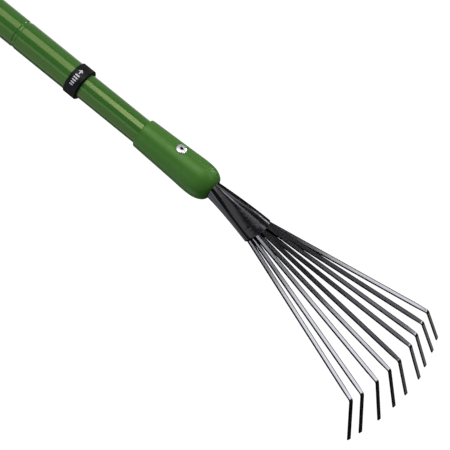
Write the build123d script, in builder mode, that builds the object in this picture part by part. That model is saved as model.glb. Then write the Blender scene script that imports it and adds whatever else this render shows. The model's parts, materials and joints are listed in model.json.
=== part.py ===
from build123d import *
import math
import os

# Telescopic hand leaf rake.
# Frame: origin at the centre of the hanging hole in the rear cap, +X along the
# handle towards the fan head, +Y left, +Z up, tine tips towards -Z. Millimetres.

# ---------------------------------------------------------------- shared dimensions
RUN = 0.05                # radial running clearance
FIT = 0.02                # radial clearance of seated pieces

# outer tube (rear handle)
OUTER_R = 11.0
OUTER_WALL = 0.8
OUTER_BORE_R = OUTER_R - OUTER_WALL
OUTER_X0 = 14.0
OUTER_X1 = 419.6

# rolled groove that holds the collar
GROOVE_X = 364.0
GROOVE_W = 2.4
GROOVE_DEPTH = 0.35
GROOVE_X0 = GROOVE_X - GROOVE_W / 2
GROOVE_X1 = GROOVE_X + GROOVE_W / 2

# inner tube (front pole)
INNER_R = 9.5
INNER_WALL = 0.8
INNER_BORE_R = INNER_R - INNER_WALL
INNER_X0 = 130.0
INNER_X1 = 520.0

# twist lock in the rear end of the inner tube
PLUG_X0 = 127.0           # rear face of the plug's flange
ECC = 0.35                # journal's offset along +Z, and the drum's from it along +Y
JOURNAL_R = 5.5
JOURNAL_LEN = 18.0
JOURNAL_X0 = PLUG_X0 - JOURNAL_LEN
SPIGOT_R = 4.0
SPIGOT_LEN = 8.0
SPIGOT_X0 = JOURNAL_X0 - SPIGOT_LEN
SCREW_R = 1.45
PIN_X = 145.0
PIN_R = 1.5
CROSS_CUT = 12.0          # reach of the pin hole's cut, above and below the axis

# fan's round shank and the shell in one piece with it
SHANK_R = 6.4
SHANK_X0 = 488.0
SHANK_X1 = 538.2
SHELL_WALL = 0.8

# blind rivet through the socket, inner tube, bushing and shank
RIVET_X = 505.3
RIVET_TURN = 9.8          # degrees from +Z towards +Y
RIVET_R = 2.0
RIVET_HOLE_R = RIVET_R + 0.03
RIVET_SEAT = 12.02        # underside of the rivet's flange, from the handle's axis
RIVET_BULB = SHANK_R - SHELL_WALL - 0.7     # where the tail swells inside the shank

# fan's own plane, pitched down from the handle's axis
FAN_X = 546.06
FAN_Z = 1.27
FAN_PITCH = 6.7

# ---------------------------------------------------------------- planes
pitch = math.radians(FAN_PITCH)
fan_ahead = Vector(math.cos(pitch), 0, -math.sin(pitch))
fan_normal = Vector(math.sin(pitch), 0, math.cos(pitch))
fan_origin = Vector(FAN_X, 0, FAN_Z)
fan_plane = Plane(origin=fan_origin, x_dir=fan_ahead, z_dir=fan_normal)

turn_angle = math.radians(RIVET_TURN)
rivet_dir = Vector(0, math.sin(turn_angle), math.cos(turn_angle))
rivet_side = Vector(0, -rivet_dir.Z, rivet_dir.Y)
rivet_axis = Axis(origin=(RIVET_X, 0, 0), direction=rivet_dir)
# local x along +X, local y outwards along the rivet
rivet_profile_plane = Plane(origin=(RIVET_X, 0, 0), x_dir=(1, 0, 0), z_dir=rivet_side)


def fan_point(point):
    """World position of a point given in the fan's plane."""
    x, y, z = point
    return fan_origin + fan_ahead * x + Vector(0, 1, 0) * y + fan_normal * z


def fan_section(x):
    """Plane square to the fan's plane, x ahead of the fan's origin."""
    return Plane(origin=fan_origin + fan_ahead * x, x_dir=(0, 1, 0), z_dir=fan_ahead)


def rivet_plane(height):
    """Plane square to the rivet at the given distance from the handle's axis."""
    origin = Vector(RIVET_X, 0, 0) + rivet_dir * height
    return Plane(origin=origin, x_dir=(1, 0, 0), z_dir=rivet_dir)


def across(x):
    """Plane square to the handle's axis at x, local x along +Y, local y along +Z."""
    return Plane(origin=(x, 0, 0), x_dir=(0, 1, 0), z_dir=(1, 0, 0))


# ---------------------------------------------------------------- handle
def groove_points(surface_r):
    """Groove in a surface of the given radius, as (x, radius) from rear to front."""
    return [
        (GROOVE_X0 - 0.5, surface_r),
        (GROOVE_X0 + 0.3, surface_r - GROOVE_DEPTH),
        (GROOVE_X1 - 0.3, surface_r - GROOVE_DEPTH),
        (GROOVE_X1 + 0.5, surface_r),
    ]


def make_outer_tube():
    bevel = 0.25
    with BuildPart() as tube:
        with BuildSketch(Plane.XZ):
            with BuildLine():
                Polyline(
                    (OUTER_X0, OUTER_BORE_R),
                    (OUTER_X0, OUTER_R - bevel),
                    (OUTER_X0 + bevel, OUTER_R),
                    *groove_points(OUTER_R),
                    (OUTER_X1 - bevel, OUTER_R),
                    (OUTER_X1, OUTER_R - bevel),
                    (OUTER_X1, OUTER_BORE_R),
                    *reversed(groove_points(OUTER_BORE_R)),
                    close=True,
                )
            make_face()
        revolve(axis=Axis.X)
        groove_edges = tube.edges().filter_by(GeomType.CIRCLE).filter_by(
            lambda e: GROOVE_X0 - 0.6 < e.arc_center.X < GROOVE_X1 + 0.6
            and e.radius > OUTER_R - 0.5
        )
        fillet(groove_edges, 0.3)
    return tube.part


def make_locking_collar():
    """Fluted flange on the tube's end, in one piece with a guide sleeve inside the tube."""
    flange_x0 = 412.0
    flange_x1 = 422.6
    flange_r = 12.0
    rear_bevel = 0.45
    front_bevel = 0.7
    bore_bevel = 0.5
    sleeve_x0 = 356.0
    sleeve_r = OUTER_BORE_R - FIT
    sleeve_bore_r = INNER_R + RUN
    flute_pitch = 6.0         # degrees
    flute_r = 0.42
    flute_centre_r = flange_r * 1.012
    # plain field without flutes, degrees from +Z, positive towards -Y
    plain_from = -16.0
    plain_to = 68.0

    with BuildPart() as collar:
        with BuildSketch(Plane.XZ):
            with BuildLine():
                Polyline(
                    (sleeve_x0, sleeve_bore_r),
                    (sleeve_x0, sleeve_r),
                    *groove_points(sleeve_r),
                    (OUTER_X1 + FIT, sleeve_r),
                    (OUTER_X1 + FIT, OUTER_R + FIT),
                    (flange_x0, OUTER_R + FIT),
                    (flange_x0, flange_r - rear_bevel),
                    (flange_x0 + rear_bevel, flange_r),
                    (flange_x1 - front_bevel, flange_r),
                    (flange_x1, flange_r - front_bevel),
                    (flange_x1, sleeve_bore_r + bore_bevel),
                    (flange_x1 - bore_bevel, sleeve_bore_r),
                    close=True,
                )
            make_face()
        revolve(axis=Axis.X)
        with BuildSketch(across(flange_x0 + 1.3)):
            for k in range(int(360 / flute_pitch)):
                turn = -180 + k * flute_pitch
                if plain_from <= turn <= plain_to:
                    continue
                angle = math.radians(90 + turn)
                centre = (flute_centre_r * math.cos(angle), flute_centre_r * math.sin(angle))
                with Locations(centre):
                    Circle(flute_r)
        extrude(amount=flange_x1 - flange_x0 - 2.9, mode=Mode.SUBTRACT)
    return collar.part


def make_grip():
    """Swelling sleeve around the rear of the outer tube."""
    x0 = OUTER_X0 + 0.2
    x1 = 138.0
    bore_r = OUTER_R + FIT
    end_r = 13.4
    middle_r = 14.8
    rear_round = 1.6
    front_round = 2.0
    front_r = end_r - 0.2
    front_face_r = end_r - 1.8
    with BuildPart() as grip:
        with BuildSketch(Plane.XZ):
            with BuildLine():
                Line((x0, bore_r), (x0, end_r - rear_round))
                RadiusArc((x0, end_r - rear_round), (x0 + rear_round, end_r), rear_round)
                Spline(
                    (x0 + rear_round, end_r),
                    (x0 + 28.0, middle_r),
                    (x0 + 74.0, middle_r - 0.5),
                    (x1 - 10.0, end_r + 0.2),
                    (x1 - front_round, front_r),
                )
                RadiusArc((x1 - front_round, front_r), (x1, front_face_r), front_round)
                Line((x1, front_face_r), (x1, bore_r))
                Line((x1, bore_r), (x0, bore_r))
            make_face()
        revolve(axis=Axis.X)
    return grip.part


def make_end_cap():
    """Hanging tab, flange that closes the grip, and hollow plug inside the tube."""
    hole_r = 3.5
    tab_thick = 8.0
    tab_r = 9.0
    tab_x1 = 12.0
    tab_half_w = 11.0
    shoulder_x = 8.0
    arc_x, arc_y = 1.5, 8.874     # where the tab's straight sides meet its round end
    flange_r = 14.0
    flange_x1 = OUTER_X0 - FIT
    plug_x1 = 40.0
    plug_bore_r = OUTER_BORE_R - 2.4
    plug_bore_x0 = 16.0
    with BuildPart() as cap:
        with BuildSketch(Plane.XY.offset(-tab_thick / 2)):
            with BuildLine():
                Line((tab_x1, -tab_half_w), (tab_x1, tab_half_w))
                Line((tab_x1, tab_half_w), (shoulder_x, tab_half_w))
                Line((shoulder_x, tab_half_w), (arc_x, arc_y))
                ThreePointArc((arc_x, arc_y), (-tab_r, 0), (arc_x, -arc_y))
                Line((arc_x, -arc_y), (shoulder_x, -tab_half_w))
                Line((shoulder_x, -tab_half_w), (tab_x1, -tab_half_w))
            make_face()
        extrude(amount=tab_thick)
        tab_rims = cap.edges().filter_by(
            lambda e: abs(abs(e.center().Z) - tab_thick / 2) < 0.01 and e.center().X < 11.0
        )
        fillet(tab_rims, 1.2)
        with BuildSketch(Plane.XZ):
            with BuildLine():
                Polyline(
                    (7.6, 0),
                    (7.6, 10.6),
                    (8.2, 12.4),
                    (9.4, flange_r - 0.5),
                    (10.4, flange_r),
                    (13.2, flange_r),
                    (flange_x1, flange_r - 0.8),
                    (flange_x1, OUTER_BORE_R - FIT),
                    (plug_x1 - 1.5, OUTER_BORE_R - FIT),
                    (plug_x1, OUTER_BORE_R - 1.2),
                    (plug_x1, plug_bore_r),
                    (plug_bore_x0, plug_bore_r),
                    (plug_bore_x0, 0),
                    close=True,
                )
            make_face()
        revolve(axis=Axis.X)
        with BuildSketch(Plane.XY.offset(-tab_thick)):
            Circle(hole_r)
        extrude(amount=2 * tab_thick, mode=Mode.SUBTRACT)
    return cap.part


def make_inner_tube():
    with BuildPart() as tube:
        with BuildSketch(across(INNER_X0)):
            Circle(INNER_R)
            Circle(INNER_BORE_R, mode=Mode.SUBTRACT)
        extrude(amount=INNER_X1 - INNER_X0)
        # cross hole for the plug's pin
        with BuildSketch(Plane.XY.offset(-CROSS_CUT)):
            with Locations((PIN_X, 0)):
                Circle(PIN_R + FIT)
        extrude(amount=2 * CROSS_CUT, mode=Mode.SUBTRACT)
        # rivet hole, upper wall only
        with BuildSketch(rivet_plane(4)):
            Circle(RIVET_HOLE_R)
        extrude(amount=8, mode=Mode.SUBTRACT)
    return tube.part


# ---------------------------------------------------------------- twist lock
def make_cam_plug():
    """Plug in the inner tube's rear end: flange, body, eccentric journal, spigot."""
    with BuildPart() as plug:
        with BuildSketch(across(PLUG_X0)):
            Circle(INNER_R)
        extrude(amount=INNER_X0 - PLUG_X0 - 0.01)
        with BuildSketch(across(PLUG_X0)):
            Circle(INNER_BORE_R - FIT)
        extrude(amount=33.0)
        chamfer(plug.faces().sort_by(Axis.X)[-1].edges(), 1.0)
        with BuildSketch(across(JOURNAL_X0)):
            with Locations((0, ECC)):
                Circle(JOURNAL_R)
        extrude(amount=JOURNAL_LEN)
        with BuildSketch(across(SPIGOT_X0)):
            Circle(SPIGOT_R)
        extrude(amount=SPIGOT_LEN)
        with BuildSketch(Plane.XY.offset(-CROSS_CUT)):
            with Locations((PIN_X, 0)):
                Circle(PIN_R + FIT)
        extrude(amount=2 * CROSS_CUT, mode=Mode.SUBTRACT)
        # hole for the retaining screw
        with BuildSketch(across(SPIGOT_X0)):
            Circle(SCREW_R + FIT)
        extrude(amount=12.0, mode=Mode.SUBTRACT)
    return plug.part


def make_cam_plug_pin():
    length = 18.4
    with BuildPart() as pin:
        with BuildSketch(Plane.XY.offset(-length / 2)):
            with Locations((PIN_X, 0)):
                Circle(PIN_R)
        extrude(amount=length)
        chamfer(pin.edges().filter_by(GeomType.CIRCLE), 0.25)
    return pin.part


def make_lock_drum():
    """Eccentric drum on the journal, reaching almost to the outer tube's bore."""
    radius = 9.675
    length = 17.8
    x0 = PLUG_X0 - 0.1 - length
    groove_starts = (4.4, 8.4, 12.4)     # from the drum's rear face
    groove_w = 1.0
    groove_depth = 0.4
    with BuildPart() as drum:
        with BuildSketch(across(x0)):
            with Locations((ECC, ECC)):
                Circle(radius)
        extrude(amount=length)
        chamfer(drum.edges().filter_by(GeomType.CIRCLE), 0.5)
        with BuildSketch(across(x0)):
            with Locations((0, ECC)):
                Circle(JOURNAL_R + RUN)
        extrude(amount=length, mode=Mode.SUBTRACT)
        # shallow friction grooves around the drum
        for start in groove_starts:
            with BuildSketch(across(x0 + start)):
                with Locations((ECC, ECC)):
                    Circle(radius + 1)
                    Circle(radius - groove_depth, mode=Mode.SUBTRACT)
            extrude(amount=groove_w, mode=Mode.SUBTRACT)
    return drum.part


def make_guide_ring():
    """Ring on the spigot, with relief pockets between the hub and the rim."""
    length = 7.5
    x0 = JOURNAL_X0 - 0.2 - length
    with BuildPart() as ring:
        with BuildSketch(across(x0)):
            Circle(OUTER_BORE_R - 0.03)
            Circle(SPIGOT_R + RUN, mode=Mode.SUBTRACT)
        extrude(amount=length)
        rim_edges = ring.edges().filter_by(
            lambda e: e.geom_type == GeomType.CIRCLE and e.radius > 9
        )
        chamfer(rim_edges, 0.5)
        with BuildSketch(across(x0)):
            with PolarLocations(7.0, 6):
                Circle(1.5)
        extrude(amount=length, mode=Mode.SUBTRACT)
    return ring.part


def make_retaining_screw():
    """Cross-slotted screw in the spigot's rear end."""
    head_x0 = SPIGOT_X0 - 2.4
    tip_x = SPIGOT_X0 + 10.4
    slot_len = 4.6
    slot_w = 0.9
    with BuildPart() as screw:
        with BuildSketch(Plane.XZ):
            with BuildLine():
                Polyline(
                    (head_x0, 0),
                    (head_x0, 3.4),
                    (head_x0 + 1.0, 5.4),
                    (SPIGOT_X0, 5.6),
                    (SPIGOT_X0, SCREW_R),
                    (tip_x - 1.0, SCREW_R),
                    (tip_x, 0.5),
                    (tip_x, 0),
                    close=True,
                )
            make_face()
        revolve(axis=Axis.X)
        with BuildSketch(across(SPIGOT_X0 - 3.0)):
            Rectangle(slot_len, slot_w)
            Rectangle(slot_w, slot_len)
        extrude(amount=2.0, mode=Mode.SUBTRACT)
    return screw.part


# ---------------------------------------------------------------- head socket
def make_head_socket():
    x0 = 475.0
    rear_r = 11.2
    rear_round = 1.25
    bore_r = INNER_R + FIT
    bore_bevel = 0.3
    shank_bore_r = SHANK_R + FIT
    # outside of the nose: x, radius
    nose = [
        (510.0, 12.55), (518.0, 12.95), (525.5, 13.1), (531.4, 12.4),
        (535.5, 10.7), (537.8, 8.7), (538.6, 6.8),
    ]
    nose_x = nose[-1][0]
    with BuildPart() as socket:
        with BuildSketch(Plane.XZ):
            with BuildLine():
                Line((x0, bore_r + bore_bevel), (x0, rear_r - rear_round))
                RadiusArc((x0, rear_r - rear_round), (x0 + rear_round, rear_r), rear_round)
                Line((x0 + rear_round, rear_r), (480.0, 11.4))
                Line((480.0, 11.4), nose[0])
                Spline(*nose, tangents=[(1, 0.038), (0.12, -1)])
                Polyline(
                    nose[-1],
                    (nose_x, SHANK_R + 0.15),
                    (nose_x - 0.4, shank_bore_r),
                    (INNER_X1 + FIT, shank_bore_r),
                    (INNER_X1 + FIT, bore_r),
                    (x0 + bore_bevel, bore_r),
                    (x0, bore_r + bore_bevel),
                )
            make_face()
        revolve(axis=Axis.X)
        # flat spot and hole for the rivet
        with BuildSketch(rivet_plane(RIVET_SEAT - 0.02)):
            Circle(4.25)
        extrude(amount=4, mode=Mode.SUBTRACT)
        with BuildSketch(rivet_plane(8)):
            Circle(RIVET_HOLE_R)
        extrude(amount=6, mode=Mode.SUBTRACT)
    return socket.part


def make_shank_bushing():
    """Bushing between the shank and the inner tube."""
    with BuildPart() as bushing:
        with BuildSketch(across(SHANK_X0)):
            Circle(INNER_BORE_R - FIT)
            Circle(SHANK_R + FIT, mode=Mode.SUBTRACT)
        extrude(amount=INNER_X1 - SHANK_X0)
        chamfer(bushing.faces().sort_by(Axis.X)[0].edges(), 0.6)
        with BuildSketch(rivet_plane(2)):
            Circle(RIVET_HOLE_R)
        extrude(amount=8, mode=Mode.SUBTRACT)
    return bushing.part


def make_blind_rivet():
    """Hollow rivet body: swollen tail, straight barrel and domed flange."""
    bore_r = 1.15
    tail = (bore_r, RIVET_BULB - 1.8)
    flange_rim = (4.0, RIVET_SEAT + 0.25)
    dome_top = (1.45, RIVET_SEAT + 1.2)
    with BuildPart() as rivet:
        with BuildSketch(rivet_profile_plane):
            with BuildLine():
                Polyline(
                    tail,
                    (2.45, RIVET_BULB - 1.6),
                    (2.6, RIVET_BULB - 0.75),
                    (RIVET_R, RIVET_BULB),
                    (RIVET_R, RIVET_SEAT),
                    (3.95, RIVET_SEAT),
                    flange_rim,
                )
                Spline(
                    flange_rim,
                    (3.3, RIVET_SEAT + 0.78),
                    (2.2, RIVET_SEAT + 1.12),
                    dome_top,
                    tangents=[(-0.3, 1), (-1, 0.04)],
                )
                Polyline(dome_top, (bore_r, RIVET_SEAT + 0.95), tail)
            make_face()
        revolve(axis=rivet_axis)
    return rivet.part


def make_rivet_mandrel():
    stem_r = 1.13
    with BuildPart() as mandrel:
        with BuildSketch(rivet_profile_plane):
            with BuildLine():
                Polyline(
                    (0, RIVET_BULB - 3.7),
                    (1.5, RIVET_BULB - 3.6),
                    (2.0, RIVET_BULB - 2.7),
                    (1.9, RIVET_BULB - 1.82),
                    (stem_r, RIVET_BULB - 1.82),
                    (stem_r, RIVET_SEAT - 0.5),
                    (0.8, RIVET_SEAT - 0.1),
                    (0, RIVET_SEAT),
                    close=True,
                )
            make_face()
        revolve(axis=rivet_axis)
    return mandrel.part


# ---------------------------------------------------------------- tines
TINE_W = 3.5
TINE_T = 1.2
EDGE_R = 0.42             # rounded edges of the flat strip
TANG_LEN = 22.5           # length held behind the mouth point
TANG_W = 1.6
MOUTH_W = 3.45
FULL_W_AT = 38.0          # distance ahead of the mouth point where the full width is reached
TAPER_LEN = 9.0           # the strip narrows from this far before the knee
BEND_R = 3.0
TIP_W = 2.95
TIP_LEN = 35.6            # from the knee

# From right to left, in the fan's plane (x ahead, y left, z up): mouth point, knee,
# a point on the bent tip's line, and the degrees by which the straight run's top
# face leans towards +Y.
TINES = [
    ((35.47, -10.47, -2.34), (158.21, -46.81, -4.88), (176.75, -53.92, -36.09), 0),
    ((35.98, -7.78, -0.95), (161.06, -38.44, -3.25), (179.49, -44.59, -34.73), 0),
    ((36.58, -5.50, 0.55), (163.03, -24.55, -1.34), (183.43, -28.75, -31.92), 0),
    ((36.90, -2.43, -0.95), (164.37, -12.06, -0.33), (185.49, -13.84, -30.66), 0),
    ((37.00, 0.24, 0.65), (165.13, -1.39, -0.00), (186.32, -0.24, -30.32), 0),
    ((36.88, 3.41, -1.20), (164.36, 13.26, -0.37), (186.25, 16.30, -30.04), 0),
    ((36.63, 5.76, 0.50), (162.59, 23.56, -1.18), (184.03, 27.65, -31.06), -0.8),
    ((36.18, 8.42, -0.95), (160.68, 34.87, -2.63), (181.30, 41.54, -32.61), 0),
    ((35.64, 10.15, -2.41), (158.39, 45.49, -4.33), (178.17, 52.96, -34.70), 1.5),
]


def make_tine(mouth_point, knee_point, tip_point, lean):
    """Flat strip: narrowing tang, straight run, tight bend at the knee, straight tip."""
    mouth = fan_point(mouth_point)
    knee = fan_point(knee_point)
    tip = fan_point(tip_point)
    run = (knee - mouth).normalized()
    down = (tip - knee).normalized()
    side = run.cross(down).normalized() * -1.0           # width direction
    up = side.cross(run)                                 # out of the strip's top face
    leaning = side.rotate(Axis((0, 0, 0), run), -lean)
    bend = math.acos(run.dot(down))
    length = (knee - mouth).length
    setback = BEND_R * math.tan(bend / 2)                # from the knee to the bend's ends
    bend_start = length - setback
    bend_axis = Axis(mouth + run * bend_start - up * BEND_R, side * -1.0)

    # distance ahead of the mouth point, width, width direction
    stations = [
        (-TANG_LEN, TANG_W, leaning),
        (0, MOUTH_W, leaning),
        (FULL_W_AT, TINE_W, leaning),
        (length - TAPER_LEN, TINE_W, leaning),
        (bend_start, TIP_W, side),
    ]
    with BuildPart() as tine:
        for distance, width, width_dir in stations:
            with BuildSketch(Plane(origin=mouth + run * distance, x_dir=width_dir, z_dir=run)):
                RectangleRounded(width, TINE_T, EDGE_R)
        loft(ruled=True)
        with BuildSketch(Plane(origin=mouth + run * bend_start, x_dir=side, z_dir=run)):
            RectangleRounded(TIP_W, TINE_T, EDGE_R)
        revolve(axis=bend_axis, revolution_arc=math.degrees(bend))
        with BuildSketch(Plane(origin=knee + down * setback, x_dir=side, z_dir=down)):
            RectangleRounded(TIP_W, TINE_T, EDGE_R)
        extrude(amount=TIP_LEN - setback)
    return tine.part


# ---------------------------------------------------------------- fan ferrule
MOUTH_R = 26.2            # radius of the front edge in plan
MOUTH_CENTRE = (11.3, 2.2)
WELD_X0 = 15.5            # ahead of the fan's origin
WELD_LEN = 9.0
OUTLINE_POINTS = 32

# Outlines: half width, half height, ridge height, sag of the sides, exponent of
# the rounded outline, exponent of the sag.
SHANK_OUTLINE = (SHANK_R, SHANK_R, SHANK_R, 0, 2, 2)
# distance ahead of the fan's origin, outline
SHELL_SECTIONS = [
    (7.0, (8.65, 5.0, 3.95, 0.35, 2.15, 2.6)),
    (22.0, (10.95, 3.6, 3.1, 1.3, 2.5, 3.0)),
    (40.0, (13.4, 2.5, 2.2, 3.15, 3.0, 3.4)),
]


def outline_points(outline, inset):
    """Points around an outline, drawn in by the inset."""
    half_w, half_h, ridge, sag, round_exp, sag_exp = outline
    middle = ridge - half_h
    points = []
    for j in range(OUTLINE_POINTS):
        angle = 2 * math.pi * j / OUTLINE_POINTS
        c, s = math.cos(angle), math.sin(angle)
        y = (half_w - inset) * math.copysign(abs(c) ** (2 / round_exp), c)
        z = (half_h - inset) * math.copysign(abs(s) ** (2 / round_exp), s)
        points.append((y, middle - sag * (abs(y) / half_w) ** sag_exp + z))
    return points


def make_shell_solid(inset):
    """Solid that starts round at the shank, then widens, flattens and arches."""
    sections = [(across(SHANK_X1), SHANK_OUTLINE)]
    sections += [(fan_section(x), outline) for x, outline in SHELL_SECTIONS]
    with BuildPart() as shell:
        for plane, outline in sections:
            with BuildSketch(plane):
                with BuildLine():
                    Spline(outline_points(outline, inset), periodic=True)
                make_face()
        loft()
    return shell.part


def make_fan_ferrule(bore, tines):
    """Round shank and, in one piece with it, the thin-walled shell that holds the tines."""
    outside = make_shell_solid(0)
    with BuildPart() as ferrule:
        add(outside)
        add(bore, mode=Mode.SUBTRACT)
        # front edge on an arc in plan
        with BuildSketch(fan_plane.offset(-30)):
            with Locations(MOUTH_CENTRE):
                Circle(MOUTH_R)
            with Locations((-30, 0)):
                Rectangle(90, 60)
        extrude(amount=60, mode=Mode.INTERSECT)
        # shank inside the socket, on the same outline as the shell's rear end
        with BuildSketch(across(SHANK_X1)):
            with BuildLine():
                Spline(outline_points(SHANK_OUTLINE, 0), periodic=True)
            make_face()
            with BuildLine():
                Spline(outline_points(SHANK_OUTLINE, SHELL_WALL), periodic=True)
            make_face(mode=Mode.SUBTRACT)
        extrude(amount=SHANK_X0 - SHANK_X1)
        with BuildSketch(rivet_plane(1)):
            Circle(RIVET_HOLE_R)
        extrude(amount=8, mode=Mode.SUBTRACT)
        # the crimped mouth takes the strips' shape
        for strip in tines:
            add(strip, mode=Mode.SUBTRACT)
    return ferrule.part


def make_weld_plug(bore, tines):
    """Weld metal that ties the tangs together inside the ferrule."""
    with BuildPart() as weld:
        add(bore)
        with BuildSketch(fan_section(WELD_X0)):
            Rectangle(60, 60)
        extrude(amount=WELD_LEN, mode=Mode.INTERSECT)
        for strip in tines:
            add(strip, mode=Mode.SUBTRACT)
    return weld.part


# ---------------------------------------------------------------- build and export
tines = [make_tine(*row) for row in TINES]
ferrule_bore = make_shell_solid(SHELL_WALL)

pieces = {
    "outer_tube": make_outer_tube(),
    "locking_collar": make_locking_collar(),
    "grip": make_grip(),
    "end_cap": make_end_cap(),
    "inner_tube": make_inner_tube(),
    "cam_plug": make_cam_plug(),
    "cam_plug_pin": make_cam_plug_pin(),
    "lock_drum": make_lock_drum(),
    "guide_ring": make_guide_ring(),
    "retaining_screw": make_retaining_screw(),
    "head_socket": make_head_socket(),
    "shank_bushing": make_shank_bushing(),
    "blind_rivet": make_blind_rivet(),
    "rivet_mandrel": make_rivet_mandrel(),
    "fan_ferrule": make_fan_ferrule(ferrule_bore, tines),
    "weld_plug": make_weld_plug(ferrule_bore, tines),
}
for number, tine in enumerate(tines, start=1):
    pieces["tine_" + str(number)] = tine

os.makedirs("parts", exist_ok=True)
for name, part in pieces.items():
    part.label = name
    export_step(part, "parts/" + name + ".step")
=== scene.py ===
"""Leaf rake: a tube handle with a grip, a turn-to-lock collar and a fan of nine flat wire tines.

Row frame in metres: origin at the hanging hole, +X to the head, +Z up. Sizes are written in
millimetres and turned into metres with MM, except in the stage section, which is in metres.
"""
import json
import math

import bmesh
import bpy
import numpy as np
from mathutils import Matrix, Vector

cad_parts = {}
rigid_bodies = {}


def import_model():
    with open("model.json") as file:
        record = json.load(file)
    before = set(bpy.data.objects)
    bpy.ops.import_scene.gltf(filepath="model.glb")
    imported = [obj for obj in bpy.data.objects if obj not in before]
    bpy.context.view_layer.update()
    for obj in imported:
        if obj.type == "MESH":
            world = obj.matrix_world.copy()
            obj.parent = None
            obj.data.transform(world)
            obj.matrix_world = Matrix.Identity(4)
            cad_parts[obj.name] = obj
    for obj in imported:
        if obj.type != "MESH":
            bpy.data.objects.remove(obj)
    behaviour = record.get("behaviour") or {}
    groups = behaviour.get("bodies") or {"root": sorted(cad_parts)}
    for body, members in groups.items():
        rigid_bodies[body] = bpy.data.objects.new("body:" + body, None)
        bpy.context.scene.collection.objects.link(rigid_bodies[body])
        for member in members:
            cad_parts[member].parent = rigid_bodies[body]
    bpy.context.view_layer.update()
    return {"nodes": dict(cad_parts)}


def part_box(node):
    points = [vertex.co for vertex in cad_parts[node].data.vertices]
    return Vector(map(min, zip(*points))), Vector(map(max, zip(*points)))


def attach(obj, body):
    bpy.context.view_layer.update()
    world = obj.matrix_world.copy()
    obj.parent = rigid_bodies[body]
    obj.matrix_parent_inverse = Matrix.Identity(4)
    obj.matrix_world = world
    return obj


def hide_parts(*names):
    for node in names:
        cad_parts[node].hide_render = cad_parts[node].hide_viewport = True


MM = 0.001

for old in list(bpy.data.objects):
    bpy.data.objects.remove(old, do_unlink=True)

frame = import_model()
nodes = frame["nodes"]
scene = bpy.context.scene


# ------------------------------------------------------------------ node helpers
class Graph:
    """The emptied node tree of a material or a world."""

    def __init__(self, owner):
        owner.use_nodes = True
        self.tree = owner.node_tree
        self.tree.nodes.clear()

    def add(self, kind, **props):
        node = self.tree.nodes.new(kind)
        for key, value in props.items():
            setattr(node, key, value)
        return node

    def link(self, source, target):
        self.tree.links.new(source, target)

    def mix_shader(self, fac, first, second):
        node = self.add("ShaderNodeMixShader")
        for socket, source in zip(node.inputs, (fac, first, second)):
            self.link(source, socket)
        return node.outputs[0]

    def glow(self, kind, strength):
        """A white Emission or Background."""
        node = self.add(kind)
        node.inputs["Color"].default_value = (1.0, 1.0, 1.0, 1.0)
        node.inputs["Strength"].default_value = strength
        return node.outputs[0]


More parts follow.
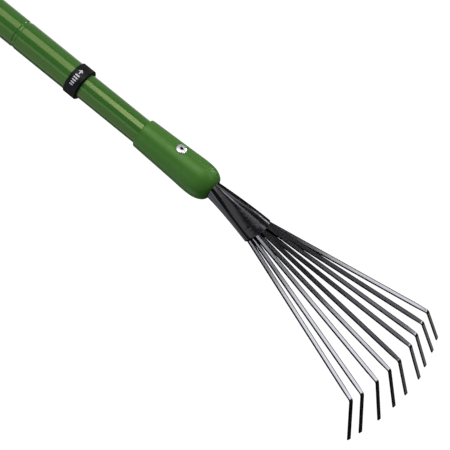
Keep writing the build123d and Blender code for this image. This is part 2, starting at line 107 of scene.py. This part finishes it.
class Surface(Graph):
    """A material whose nodes read as formulas. Textures work in the object's own metres."""

    def __init__(self, name):
        self.mat = bpy.data.materials.new(name)
        super().__init__(self.mat)
        self.out = self.add("ShaderNodeOutputMaterial")
        self.bsdf = self.add("ShaderNodeBsdfPrincipled")
        self.link(self.bsdf.outputs["BSDF"], self.out.inputs["Surface"])
        self.coord = self.add("ShaderNodeTexCoord").outputs["Object"]

    def put(self, socket, value):
        """Link a socket or set a plain value; a colour gets its alpha."""
        if hasattr(value, "is_output"):
            self.link(value, socket)
        elif isinstance(value, tuple) and len(value) == 3 and socket.type == "RGBA":
            socket.default_value = (*value, 1.0)
        else:
            socket.default_value = value

    def math(self, operation, first, second=0.0, clamp=False):
        node = self.add("ShaderNodeMath", operation=operation, use_clamp=clamp)
        for socket, value in zip(node.inputs, (first, second, 0.0)):
            self.put(socket, value)
        return node.outputs[0]

    def times(self, first, second):
        return self.math("MULTIPLY", first, second)

    def scaled(self, x=1.0, y=1.0, z=1.0, shift=(0, 0, 0)):
        """Object coordinates; a factor below 1 stretches the texture along that axis."""
        node = self.add("ShaderNodeMapping")
        self.link(self.coord, node.inputs["Vector"])
        node.inputs["Scale"].default_value = (x, y, z)
        node.inputs["Location"].default_value = shift
        return node.outputs["Vector"]

    def noise(self, scale, detail=3.0, rough=0.5, vector=None):
        """Noise from 0 to 1; scale is in cells per metre."""
        node = self.add("ShaderNodeTexNoise")
        node.inputs["Scale"].default_value = scale
        node.inputs["Detail"].default_value = detail
        node.inputs["Roughness"].default_value = rough
        self.link(vector or self.coord, node.inputs["Vector"])
        return node.outputs["Fac"]

    def voronoi(self, scale):
        node = self.add("ShaderNodeTexVoronoi", feature="F1")
        node.inputs["Scale"].default_value = scale
        self.link(self.coord, node.inputs["Vector"])
        return node.outputs["Distance"]

    def span(self, value, within, to=(0.0, 1.0)):
        """Map the range `within` to the range `to`."""
        node = self.add("ShaderNodeMapRange")
        for i, part in enumerate((value, *within, *to)):
            self.put(node.inputs[i], part)
        return node.outputs[0]

    def vary(self, noise, low, high):
        """Spread the middle of a noise over low to high."""
        return self.span(noise, (0.3, 0.7), to=(low, high))

    def mix(self, fac, first, second):
        node = self.add("ShaderNodeMix", data_type="RGBA")
        # the colour sockets of the mix node: factor, A, B
        for i, value in ((0, fac), (6, first), (7, second)):
            self.put(node.inputs[i], value)
        return node.outputs[2]

    def tint(self, base, mask, colour, amount):
        """Lay a colour over the base where the mask is 1, at the given amount."""
        return self.mix(self.times(mask, amount), base, colour)

    def bevel(self, radius_mm):
        node = self.add("ShaderNodeBevel", samples=6)
        node.inputs["Radius"].default_value = radius_mm * MM
        return node.outputs[0]

    def dot(self, first):
        """A dot product whose second input is left to the caller."""
        node = self.add("ShaderNodeVectorMath", operation="DOT_PRODUCT")
        self.link(first, node.inputs[0])
        return node

    def edges(self, radius_mm):
        """0 on open faces, 1 on hard convex and concave edges."""
        dot = self.dot(self.bevel(radius_mm))
        self.link(self.add("ShaderNodeNewGeometry").outputs["Normal"], dot.inputs[1])
        away = self.math("SUBTRACT", 1.0, dot.outputs["Value"])
        return self.span(away, (0.02, 0.25))

    def bumps(self, *layers, round_mm=None):
        """Layers are (height, distance in mm, strength). round_mm first rounds hard edges."""
        normal = self.bevel(round_mm) if round_mm else None
        for height, distance_mm, strength in layers:
            node = self.add("ShaderNodeBump")
            node.inputs["Distance"].default_value = distance_mm * MM
            node.inputs["Strength"].default_value = strength
            self.link(height, node.inputs["Height"])
            if normal is not None:
                self.link(normal, node.inputs["Normal"])
            normal = node.outputs["Normal"]
        self.link(normal, self.bsdf.inputs["Normal"])

    def set(self, **values):
        """Set inputs of the Principled shader, with _ for each space in a name."""
        for key, value in values.items():
            self.put(self.bsdf.inputs[key.replace("_", " ")], value)


# ------------------------------------------------------------------ materials
def green_enamel():
    """Gloss enamel on drawn tube: fine orange peel, faint lengthwise lines, thin scuffs."""
    g = Surface("green_enamel")
    drift = g.noise(14.0, detail=2.0)
    lines = g.noise(900.0, detail=4.0, rough=0.6, vector=g.scaled(x=0.035))
    base = g.mix(drift, (0.049, 0.166, 0.026), (0.057, 0.186, 0.031))
    line_mask = g.span(lines, (0.45, 0.75), to=(0.0, 0.22))
    base = g.mix(line_mask, base, (0.070, 0.22, 0.036))

    scratches = g.noise(2200.0, detail=2.0, vector=g.scaled(x=0.10, shift=(3.0, 0, 0)))
    patches = g.noise(30.0, detail=2.0)
    scuffs = g.times(g.span(scratches, (0.66, 0.74)), g.span(patches, (0.52, 0.66)))
    base = g.tint(base, scuffs, (0.10, 0.24, 0.06), amount=0.30)
    worn = g.times(g.edges(radius_mm=0.25), g.span(g.noise(700.0), (0.42, 0.58)))
    base = g.tint(base, worn, (0.16, 0.20, 0.13), amount=0.55)

    rough = g.vary(g.noise(60.0), 0.11, 0.16)
    rough = g.math("ADD", rough, g.times(scuffs, 0.25), clamp=True)
    g.set(Base_Color=base, Roughness=rough, Specular_IOR_Level=0.5)
    g.set(Specular_Tint=(0.90, 1.0, 0.48))
    orange_peel = g.noise(420.0, detail=2.0)
    g.bumps((orange_peel, 0.006, 0.30), (lines, 0.003, 0.30), round_mm=0.25)
    return g.mat


def green_plastic():
    """Moulded satin plastic with a fine grain and faint flow marks along X."""
    g = Surface("green_plastic")
    drift = g.noise(22.0, rough=0.6, vector=g.scaled(x=0.5))
    base = g.mix(g.vary(drift, 0.0, 1.0), (0.063, 0.204, 0.027), (0.070, 0.222, 0.031))
    specks = g.span(g.noise(1500.0, detail=2.0), (0.62, 0.75))
    base = g.tint(base, specks, (0.085, 0.21, 0.07), amount=0.18)
    base = g.tint(base, g.edges(radius_mm=0.35), (0.10, 0.24, 0.085), amount=0.35)
    rough = g.vary(g.noise(120.0, detail=4.0), 0.35, 0.43)
    g.set(Base_Color=base, Roughness=rough, Specular_IOR_Level=0.45)
    g.set(Specular_Tint=(0.70, 1.0, 0.48))
    grain = g.noise(1900.0, rough=0.6)
    waviness = g.noise(160.0, detail=2.0)
    g.bumps((grain, 0.02, 0.30), (waviness, 0.05, 0.12), round_mm=0.35)
    return g.mat


def black_plastic():
    """Black nylon mouldings: fine grain, edges slightly greyed."""
    tone = 0.0036
    g = Surface("black_plastic")
    darker = (tone * 0.85, tone * 0.8, tone * 0.95)
    lighter = (tone * 1.3, tone * 1.2, tone * 1.45)
    base = g.mix(g.noise(60.0), darker, lighter)
    greyed = g.times(g.edges(radius_mm=0.25), g.span(g.noise(500.0), (0.35, 0.65)))
    base = g.tint(base, greyed, (0.03, 0.028, 0.032), amount=0.4)
    rough = g.vary(g.noise(220.0, detail=4.0), 0.44, 0.56)
    g.set(Base_Color=base, Roughness=rough, Specular_IOR_Level=0.22)
    g.bumps((g.noise(1700.0, rough=0.6), 0.02, 0.35), round_mm=0.2)
    return g.mat


def mark_white():
    """Slightly uneven white ink."""
    g = Surface("mark_white")
    patches = g.span(g.noise(900.0), (0.35, 0.65))
    base = g.mix(patches, (0.66, 0.66, 0.70), (0.82, 0.82, 0.84))
    g.set(Base_Color=base, Roughness=g.vary(g.noise(1200.0, detail=2.0), 0.42, 0.6))
    g.bumps((g.noise(2600.0, detail=2.0), 0.01, 0.4))
    return g.mat


def natural_plastic():
    """Unpigmented acetal: milky, slightly translucent, with turning marks round X."""
    g = Surface("natural_plastic")
    base = g.mix(g.noise(90.0, detail=4.0), (0.70, 0.67, 0.58), (0.80, 0.77, 0.69))
    rings = g.noise(1400.0, detail=2.0, vector=g.scaled(y=0.05, z=0.05))
    g.set(Base_Color=base, Roughness=g.vary(rings, 0.36, 0.48))
    g.set(Subsurface_Weight=0.15, Subsurface_Scale=0.002)
    g.bumps((rings, 0.01, 0.4), round_mm=0.2)
    return g.mat


# distances from a strip's middle line where its matt border begins and where it is full
BORDER_FROM, BORDER_TO = 0.92 * MM, 1.18 * MM


def strip_edge(g, start, across):
    """1 on the slit edges of flat wire and on a narrow ragged border beside them, else 0."""
    facing = g.add("ShaderNodeSeparateXYZ")
    g.link(g.add("ShaderNodeTexCoord").outputs["Normal"], facing.inputs[0])
    slit = g.span(g.math("ABSOLUTE", facing.outputs["Y"]), (0.13, 0.36))
    offset = g.add("ShaderNodeVectorMath", operation="SUBTRACT")
    g.link(g.coord, offset.inputs[0])
    offset.inputs[1].default_value = start
    distance = g.dot(offset.outputs[0])
    distance.inputs[1].default_value = across
    ragged_width = 0.15 * MM
    centred = g.math("SUBTRACT", g.noise(700.0, detail=2.0), 0.5)
    ragged = g.times(centred, ragged_width)
    reach = g.math("ADD", g.math("ABSOLUTE", distance.outputs["Value"]), ragged)
    return g.math("MAXIMUM", slit, g.span(reach, (BORDER_FROM, BORDER_TO)))


def black_enamel(name, tone, level, rough_range, ior, round_mm=None, strip=None):
    """Black baked enamel: orange peel, specks, edges greyed where thin.

    level is the specular level; strip is the (start, across) line of a flat wire.
    """
    g = Surface(name)
    darker = (tone * 0.8, tone * 0.8, tone)
    lighter = (tone * 1.5, tone * 1.5, tone * 1.75)
    base = g.mix(g.noise(45.0), darker, lighter)
    specks = g.span(g.noise(1300.0, detail=2.0), (0.66, 0.78))
    base = g.tint(base, specks, (0.020, 0.020, 0.022), amount=0.20)
    thin = g.times(g.edges(radius_mm=0.18), g.span(g.noise(420.0), (0.45, 0.7)))
    base = g.tint(base, thin, (0.05, 0.048, 0.045), amount=0.25)
    smear = g.noise(260.0, detail=4.0, rough=0.6, vector=g.scaled(x=0.25))
    rough = g.vary(smear, *rough_range)
    if strip:
        edge = strip_edge(g, *strip)
        level = g.span(edge, (0.0, 1.0), to=(level, 0.02))
        rough = g.math("ADD", rough, g.times(edge, 0.25), clamp=True)
    g.set(Base_Color=base, Roughness=rough, Specular_IOR_Level=level, IOR=ior)
    g.set(Specular_Tint=(0.94, 0.945, 1.0))
    orange_peel = g.noise(520.0, detail=2.0)
    waviness = g.noise(90.0, detail=2.0)
    g.bumps((orange_peel, 0.006, 0.08), (waviness, 0.03, 0.05), round_mm=round_mm)
    return g.mat


def bare_metal(name, darker, lighter, rough_range, stretch_x=1.0, tarnish=0.0):
    """Bare metal with fine tool marks, stretched along X, and a little tarnish."""
    g = Surface(name)
    marks = g.noise(1500.0, detail=4.0, rough=0.6, vector=g.scaled(x=stretch_x))
    base = g.mix(marks, darker, lighter)
    if tarnish:
        stain = g.span(g.noise(240.0, detail=4.0, rough=0.65), (0.50, 0.68))
        base = g.tint(base, stain, (0.16, 0.10, 0.055), amount=tarnish)
    g.set(Base_Color=base, Metallic=1.0, Roughness=g.vary(marks, *rough_range))
    g.bumps((marks, 0.008, 0.5), round_mm=0.15)
    return g.mat


def grip_rubber():
    """Dull black-green rubber: pebbled, dusty in the hollows, polished on the crests."""
    g = Surface("grip_rubber")
    pointiness = g.add("ShaderNodeNewGeometry").outputs["Pointiness"]
    crest = g.span(pointiness, (0.47, 0.56))
    base = g.mix(g.noise(70.0, detail=4.0), (0.012, 0.013, 0.012), (0.020, 0.022, 0.020))
    hollow = g.math("SUBTRACT", 1.0, crest)
    base = g.tint(base, hollow, (0.045, 0.045, 0.040), amount=0.30)
    rough = g.span(crest, (0.0, 1.0), to=(0.82, 0.55))
    g.set(Base_Color=base, Roughness=rough, Specular_IOR_Level=0.4)
    g.set(Sheen_Weight=0.12, Sheen_Roughness=0.5)
    g.bumps((g.voronoi(1500.0), 0.05, 0.5), (g.noise(300.0), 0.04, 0.25))
    return g.mat


# ------------------------------------------------------------------ tine strips
# the fan's own plane: its origin in the row frame and its slope below +X
FAN_AT = Vector((546.06, 0.0, 1.27))
FAN_DOWN = math.radians(6.7)

# each strip's mouth, knee and a point on its bent tip: (ahead, +Y, above) in the fan's plane
STRIPS = [
    ((35.47, -10.47, -2.34), (158.21, -46.81, -4.88), (176.75, -53.92, -36.09)),
    ((35.98, -7.78, -0.95), (161.06, -38.44, -3.25), (179.49, -44.59, -34.73)),
    ((36.58, -5.50, 0.55), (163.03, -24.55, -1.34), (183.43, -28.75, -31.92)),
    ((36.90, -2.43, -0.95), (164.37, -12.06, -0.33), (185.49, -13.84, -30.66)),
    ((37.00, 0.24, 0.65), (165.13, -1.39, -0.00), (186.32, -0.24, -30.32)),
    ((36.88, 3.41, -1.20), (164.36, 13.26, -0.37), (186.25, 16.30, -30.04)),
    ((36.63, 5.76, 0.50), (162.59, 23.56, -1.18), (184.03, 27.65, -31.06)),
    ((36.18, 8.42, -0.95), (160.68, 34.87, -2.63), (181.30, 41.54, -32.61)),
    ((35.64, 10.15, -2.41), (158.39, 45.49, -4.33), (178.17, 52.96, -34.70)),
]


def from_fan(point):
    """A point of the fan's plane in the row frame, in metres."""
    ahead = Vector((math.cos(FAN_DOWN), 0.0, -math.sin(FAN_DOWN)))
    above = Vector((math.sin(FAN_DOWN), 0.0, math.cos(FAN_DOWN)))
    x, y, z = point
    return (FAN_AT + ahead * x + Vector((0.0, y, 0.0)) + above * z) * MM


def strip_line(tine, points):
    """A point on the strip's middle line and the unit direction across, in the tine's frame."""
    mouth, knee, tip = map(from_fan, points)
    across = (knee - mouth).cross(tip - knee).normalized()
    own = nodes[tine].matrix_world.inverted()
    return tuple(own @ mouth), tuple((own.to_3x3() @ across).normalized())


def dress(mat, *names):
    for name in names:
        slots = nodes[name].data.materials
        slots.clear()
        slots.append(mat)


dress(green_enamel(), "outer_tube", "inner_tube")
dress(green_plastic(), "head_socket")
dress(black_plastic(), "locking_collar", "end_cap", "guide_ring")
dress(natural_plastic(), "cam_plug", "lock_drum", "shank_bushing")
ferrule_enamel = black_enamel(
    "ferrule_enamel", tone=0.0018, level=0.95, rough_range=(0.08, 0.12), ior=1.5, round_mm=0.16
)
dress(ferrule_enamel, "fan_ferrule")
for number, strip_points in enumerate(STRIPS, 1):
    tine_name = f"tine_{number}"
    tine_enamel = black_enamel(
        f"tine_enamel_{number}", tone=0.0016, level=1.0, rough_range=(0.10, 0.14), ior=1.8,
        strip=strip_line(tine_name, strip_points),
    )
    dress(tine_enamel, tine_name)

# name, darker colour, lighter colour, roughness range, options, pieces
METALS = [
    ("bare_steel", (0.40, 0.40, 0.41), (0.58, 0.58, 0.59), (0.25, 0.40),
     {"stretch_x": 0.2}, ("cam_plug_pin", "retaining_screw")),
    ("mandrel_steel", (0.05, 0.05, 0.05), (0.10, 0.10, 0.10), (0.35, 0.55),
     {}, ("rivet_mandrel",)),
    ("weld_steel", (0.06, 0.058, 0.055), (0.16, 0.15, 0.14), (0.40, 0.60),
     {"tarnish": 0.5}, ("weld_plug",)),
    ("rivet_alloy", (0.86, 0.86, 0.87), (0.95, 0.95, 0.96), (0.30, 0.42),
     {}, ("blind_rivet",)),
]
for *look, options, pieces in METALS:
    dress(bare_metal(*look, **options), *pieces)


# ------------------------------------------------------------------ mesh helper
def new_piece(name, verts, faces, mat, smooth=True):
    mesh = bpy.data.meshes.new(name)
    mesh.from_pydata(verts, [], faces)
    mesh.validate()
    mesh.update()
    if smooth:
        mesh.polygons.foreach_set("use_smooth", [True] * len(mesh.polygons))
    mesh.materials.append(mat)
    piece = bpy.data.objects.new(name, mesh)
    scene.collection.objects.link(piece)
    return piece


# ------------------------------------------------------------------ grip sleeve
GRIP_BORE = 11.05               # bore radius
GRIP_LEAST = 11.75              # least outer radius
GRIP_AROUND, GRIP_STEPS = 168, 330
END_BLEND = 5.0                 # length at each end that is left unsmoothed
LIP_LENGTH, LIP_DROP = 1.6, 1.25
SMOOTH_COUNT = 15               # stations in the smoothing window

GROOVES = (22.0, 25.2, 28.4, 126.0, 129.2)
GROOVE_DEPTH, GROOVE_HALF = 0.55, 0.9
WAVES_FROM, WAVES_TO, WAVES_FADE = 33, 121, 6
WAVE_START, WAVE_PITCH, WAVE_DEPTH = 36, 21.0, 0.42
LOZENGES_FROM, LOZENGES_TO, LOZENGES_FADE = 34.5, 120.5, 1.2
LOZENGE_START, LOZENGE_PITCH, LOZENGES_AROUND = 36.0, 5.2, 20
LOZENGE_HALF_X, LOZENGE_HALF_TURN = 0.46, 0.44     # in pitches
LOZENGE_STEEP, LOZENGE_HEIGHT = 3.2, 0.38
PARTING_RADIUS, PARTING_HALF, PARTING_HEIGHT = 14.0, 0.35, 0.07


def clamp(value):
    return np.clip(value, 0, 1)


def ease(value):
    """Smoothstep of values from 0 to 1."""
    return value * value * (3 - 2 * value)


def bell(offset):
    """A smooth bump, 1 at 0 and 0 from |offset| = 1 on."""
    return 0.5 + 0.5 * np.cos(np.pi * clamp(np.abs(offset)))


def wave(angle):
    """0 at angle 0, 1 half a turn on."""
    return 0.5 - 0.5 * np.cos(angle)


def grip_body(xs, start, end):
    """The plain crowned radius at each station, and a mask that fades to 0 at both ends."""
    # x, radius
    outline = [
        (start, 11.9), (start + 1.6, 13.35), (start + 28.0, 14.72), (start + 74.0, 14.22),
        (end - 10.0, 13.5), (end - 2.0, 13.15), (end, 11.9),
    ]
    body = np.interp(xs, *zip(*outline))
    kernel = np.hanning(SMOOTH_COUNT)
    padded = np.pad(body, SMOOTH_COUNT // 2, mode="edge")
    soft = np.convolve(padded, kernel / kernel.sum(), "valid")
    from_end = np.minimum(xs - start, end - xs)
    keep = clamp(from_end / END_BLEND)
    body = body * (1 - keep) + soft * keep
    # rounded lips
    body -= LIP_DROP * (1 - np.sqrt(1 - (1 - clamp(from_end / LIP_LENGTH)) ** 2))
    return body, keep


def grip_surface(xs, turns, start, end):
    """Outer radius by station and by turn; turns run from +Y towards +Z."""
    body, keep = grip_body(xs, start, end)
    along, turn = np.meshgrid(xs, turns, indexing="ij")
    radius = np.repeat(body[:, None], GRIP_AROUND, 1)
    # ring grooves near both ends
    for centre in GROOVES:
        radius -= GROOVE_DEPTH * bell((along - centre) / GROOVE_HALF)
    # soft waves, deepest underneath and none on top
    fade_in = clamp((along - WAVES_FROM) / WAVES_FADE)
    zone = ease(fade_in * clamp((WAVES_TO - along) / WAVES_FADE))
    under = wave(turn - np.pi / 2)
    radius -= zone * under * WAVE_DEPTH * wave(2 * np.pi * (along - WAVE_START) / WAVE_PITCH)
    # raised lozenges all round, staggered row by row, on a lowered ground
    row = (along - LOZENGE_START) / LOZENGE_PITCH
    stagger = np.where(np.round(row).astype(int) % 2 == 0, 0.0, 0.5)
    off_x = row - np.round(row)
    column = turn / (2 * np.pi) * LOZENGES_AROUND + stagger
    off_turn = column - np.round(column)
    reach = np.abs(off_x) / LOZENGE_HALF_X + np.abs(off_turn) / LOZENGE_HALF_TURN
    lozenge = ease(clamp(clamp(1.0 - reach) * LOZENGE_STEEP))
    inside = clamp((along - LOZENGES_FROM) / LOZENGES_FADE)
    inside = inside * clamp((LOZENGES_TO - along) / LOZENGES_FADE)
    radius += -LOZENGE_HEIGHT * inside + LOZENGE_HEIGHT * lozenge * inside
    # parting line of the mould on the +Y and -Y sides
    for side in (0.0, np.pi):
        away = np.angle(np.exp(1j * (turn - side)))
        line = bell(away * PARTING_RADIUS / PARTING_HALF)
        radius += PARTING_HEIGHT * line * keep[:, None]
    return np.maximum(radius, GRIP_LEAST)


def build_grip():
    low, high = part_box("grip")
    start, end = low.x / MM, high.x / MM
    around = GRIP_AROUND
    turns = np.linspace(0, 2 * np.pi, around, endpoint=False)
    xs = np.linspace(start, end, GRIP_STEPS)
    surface = grip_surface(xs, turns, start, end)

    bore = [GRIP_BORE] * around
    verts = [
        (x * MM, radius * math.cos(turn) * MM, radius * math.sin(turn) * MM)
        for x, radii in [*zip(xs, surface), (start, bore), (end, bore)]
        for turn, radius in zip(turns, radii)
    ]
    # first vertices of the last outer ring and of the two bore rings
    last = (GRIP_STEPS - 1) * around
    bore_start = last + around
    bore_end = bore_start + around
    faces = []
    for ring in range(0, last, around):
        ahead = ring + around
        for j in range(around):
            k = (j + 1) % around
            faces.append((ring + j, ring + k, ahead + k, ahead + j))
    for j in range(around):
        k = (j + 1) % around
        faces.append((bore_start + j, bore_start + k, k, j))
        faces.append((last + j, last + k, bore_end + k, bore_end + j))
        faces.append((bore_start + j, bore_end + j, bore_end + k, bore_start + k))
    sleeve = new_piece("grip_sleeve", verts, faces, grip_rubber())
    # the bore and the end faces stay crisp
    for polygon in sleeve.data.polygons:
        if max(polygon.vertices) >= bore_start:
            polygon.use_smooth = False
    return sleeve


grip = build_grip()
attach(grip, "handle")
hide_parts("grip")


# ------------------------------------------------------------------ turn mark on the collar
MARK_X = 416.6
MARK_FOOT, MARK_TOP = 11.90, 12.14      # radii
MARK_DRAFT = 0.02                       # how far the top is set in at each side
MARK_SLICE = 1.0                        # widest slice, degrees
MARK_LEAST = 0.06                       # least length along X
BARS_FROM, BAR_GAP = 17.0, 4.2          # degrees
# length along X, width in degrees
BARS = [(3.6, 5.4), (3.6, 5.0), (3.3, 4.6), (3.0, 4.4), (2.6, 4.2)]


def mark_outlines():
    """An arrow and five shrinking bars: (degrees from +Z towards -Y, x) points."""

    def bar(first, last, length):
        low, high = MARK_X - length / 2, MARK_X + length / 2
        return [(first, low), (last, low), (last, high), (first, high)]

    arrow_head = [(-6.5, MARK_X), (3.5, MARK_X - 2.0), (3.5, MARK_X + 2.0)]
    outlines = [arrow_head, bar(3.0, 12.5, 0.9)]
    turn = BARS_FROM
    for length, width in BARS:
        outlines.append(bar(turn, turn + width, length))
        turn += width + BAR_GAP
    return outlines


def x_range(outline, turn):
    """Lowest and highest x of an outline at one turn, kept at least MARK_LEAST apart."""
    tiny = 1e-9
    xs = []
    for (turn_a, x_a), (turn_b, x_b) in zip(outline, outline[1:] + outline[:1]):
        if abs(turn_a - turn_b) < tiny:
            if abs(turn_a - turn) < tiny:
                xs += [x_a, x_b]
        elif min(turn_a, turn_b) - tiny <= turn <= max(turn_a, turn_b) + tiny:
            share = (turn - turn_a) / (turn_b - turn_a)
            xs.append(x_a + share * (x_b - x_a))
    low, high = min(xs), max(xs)
    if high - low < MARK_LEAST:
        middle = (low + high) / 2
        low, high = middle - MARK_LEAST / 2, middle + MARK_LEAST / 2
    return low, high


def build_mark():
    """The outlines as raised pieces, cut into thin slices so that they follow the round."""
    verts, faces = [], []
    for outline in mark_outlines():
        turns = [round(turn, 4) for turn, x in outline]
        first, last = min(turns), max(turns)
        count = max(2, int(math.ceil((last - first) / MARK_SLICE)) + 1)
        start = len(verts)
        for turn in np.linspace(first, last, count):
            low, high = x_range(outline, turn)
            angle = math.radians(turn)
            section = (
                (MARK_FOOT, low), (MARK_TOP, low + MARK_DRAFT),
                (MARK_TOP, high - MARK_DRAFT), (MARK_FOOT, high),
            )
            for r, x in section:
                verts.append((x * MM, -r * math.sin(angle) * MM, r * math.cos(angle) * MM))
        end = len(verts) - 4
        for here in range(start, end, 4):
            ahead = here + 4
            for j in range(4):
                k = (j + 1) % 4
                faces.append((here + j, here + k, ahead + k, ahead + j))
        faces.append((start + 3, start + 2, start + 1, start))
        faces.append((end, end + 1, end + 2, end + 3))
    piece = new_piece("collar_mark", verts, faces, mark_white(), smooth=False)
    shell = bmesh.new()
    shell.from_mesh(piece.data)
    bmesh.ops.recalc_face_normals(shell, faces=shell.faces)
    shell.to_mesh(piece.data)
    shell.free()
    return piece


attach(build_mark(), "handle")


# ------------------------------------------------------------------ stage, in metres
BACKDROP = 1.05             # white that the camera sees on the floor and in the world
AMBIENT = 0.05              # world light on the rake
FLOOR_HALF, FLOOR_Z = 9.0, -1.1
TENT_RADIUS = 1.25


def floor_material():
    """Grey to the lights, even white to the camera, clear from below."""
    g = Surface("studio_floor")
    tone = g.mix(g.noise(1.2, detail=2.0), (0.20, 0.20, 0.20), (0.23, 0.23, 0.23))
    g.set(Base_Color=tone, Roughness=0.9, Specular_IOR_Level=0.0)
    to_camera = g.add("ShaderNodeLightPath").outputs["Is Camera Ray"]
    below = g.add("ShaderNodeNewGeometry").outputs["Backfacing"]
    white = g.glow("ShaderNodeEmission", BACKDROP)
    clear = g.add("ShaderNodeBsdfTransparent").outputs[0]
    seen = g.mix_shader(to_camera, g.bsdf.outputs[0], white)
    g.link(g.mix_shader(below, seen, clear), g.out.inputs["Surface"])
    return g.mat


def build_floor():
    half = FLOOR_HALF
    corners = [(-half, -half), (half, -half), (half, half), (-half, half)]
    mesh = bpy.data.meshes.new("floor")
    mesh.from_pydata([(x, y, FLOOR_Z) for x, y in corners], [], [(0, 1, 2, 3)])
    mesh.materials.append(floor_material())
    floor = bpy.data.objects.new("floor", mesh)
    scene.collection.objects.link(floor)


def build_world():
    """White to the camera, a faint ambient light to everything else."""
    world = bpy.data.worlds.new("studio")
    scene.world = world
    g = Graph(world)
    out = g.add("ShaderNodeOutputWorld")
    seen = g.glow("ShaderNodeBackground", BACKDROP)
    lit = g.glow("ShaderNodeBackground", AMBIENT)
    to_camera = g.add("ShaderNodeLightPath").outputs["Is Camera Ray"]
    g.link(g.mix_shader(to_camera, lit, seen), out.inputs["Surface"])


def pose(side, up, back, place):
    """World matrix from the local x, y and z axes and a place."""
    return Matrix([*zip(side, up, back, place), (0, 0, 0, 1)])


def tent(name, low, high, x_from, x_to, radiance, colour=(1.0, 1.0, 1.0)):
    """A flat diffuser panel of the light tent round the handle's axis, facing the axis."""
    middle = math.radians((low + high) / 2)
    half = math.radians((high - low) / 2)
    y, z = math.sin(middle), math.cos(middle)
    side, back = Vector((1, 0, 0)), Vector((0, y, z))
    centre = ((x_from + x_to) / 2, TENT_RADIUS * y, TENT_RADIUS * z)
    data = bpy.data.lights.new(name, "AREA")
    data.shape = "RECTANGLE"
    data.size = x_to - x_from
    data.size_y = 2 * TENT_RADIUS * math.tan(half)
    data.energy = radiance * data.size * data.size_y * math.pi
    data.color = colour
    panel = bpy.data.objects.new(name, data)
    panel.matrix_world = pose(side, back.cross(side), back, centre)
    scene.collection.objects.link(panel)
    panel.visible_camera = False


# name, from, to (degrees from overhead towards +Y), x from, x to, radiance, colour if not white
TENT = [
    ("key_rear", -15, 22, -0.90, 0.12, 2.9),
    ("key_mid", -15, 25, 0.12, 0.32, 5.6),
    ("key_front", -12, 24, 0.32, 0.56, 1.3),
    ("key_side", 36, 62, 0.30, 0.66, 1.0),
    ("far_tube", 44, 100, -0.90, 0.25, 0.30),
    ("far_tube_low", 100, 150, -0.90, 0.25, 0.6),
    ("head_over", -32, 22, 0.56, 0.765, 0.60),
    ("ridge_line", 34, 38.5, 0.60, 0.70, 4.3, (0.96, 0.97, 1.06)),
    ("ridge_end", 33.3, 36.5, 0.70, 0.762, 1.9, (0.96, 0.97, 1.06)),
    ("fan_edge", 25.0, 29.5, 0.80, 1.60, 0.60, (0.95, 0.96, 1.07)),
    ("fan_light", 29.8, 40.5, 0.795, 1.60, 4.6, (0.99, 0.99, 1.02)),
    ("nose_glow", 66, 84, 0.62, 0.82, 9.5),
    ("near_strip", -76, -55, -0.90, 0.30, 1.3, (0.85, 1.0, 1.3)),
    ("near_strip_b", -76, -55, 0.30, 0.56, 0.55),
    ("near_low_a", -112, -80, -0.90, 0.35, 0.8),
    ("near_low_b", -170, -112, -0.90, 0.30, 0.75),
    ("low_rim", -165, -125, 0.30, 0.85, 0.9),
    ("near_head", -100, -70, 0.45, 0.95, 0.22),
    ("tip_glow", 115, 150, 1.30, 2.20, 0.4),
]


def build_camera():
    data = bpy.data.cameras.new("camera")
    data.sensor_width = 36.0
    data.lens = 160.08
    # shifts are shares of the picture's width
    data.shift_x = -0.001111111
    data.shift_y = 0.001111111
    data.clip_start, data.clip_end = 0.05, 60.0
    camera = bpy.data.objects.new("camera", data)
    forward = Vector((-0.150, 0.501, -0.853)).normalized()
    right = Vector((0.767, 0.603, 0.219))
    right = (right - forward * right.dot(forward)).normalized()
    place = (0.76607, -0.69728, 1.16023)
    camera.matrix_world = pose(right, right.cross(forward), -forward, place)
    scene.collection.objects.link(camera)
    scene.camera = camera


build_floor()
build_world()
for panel_row in TENT:
    tent(*panel_row)
build_camera()
scene.view_settings.view_transform = "Standard"
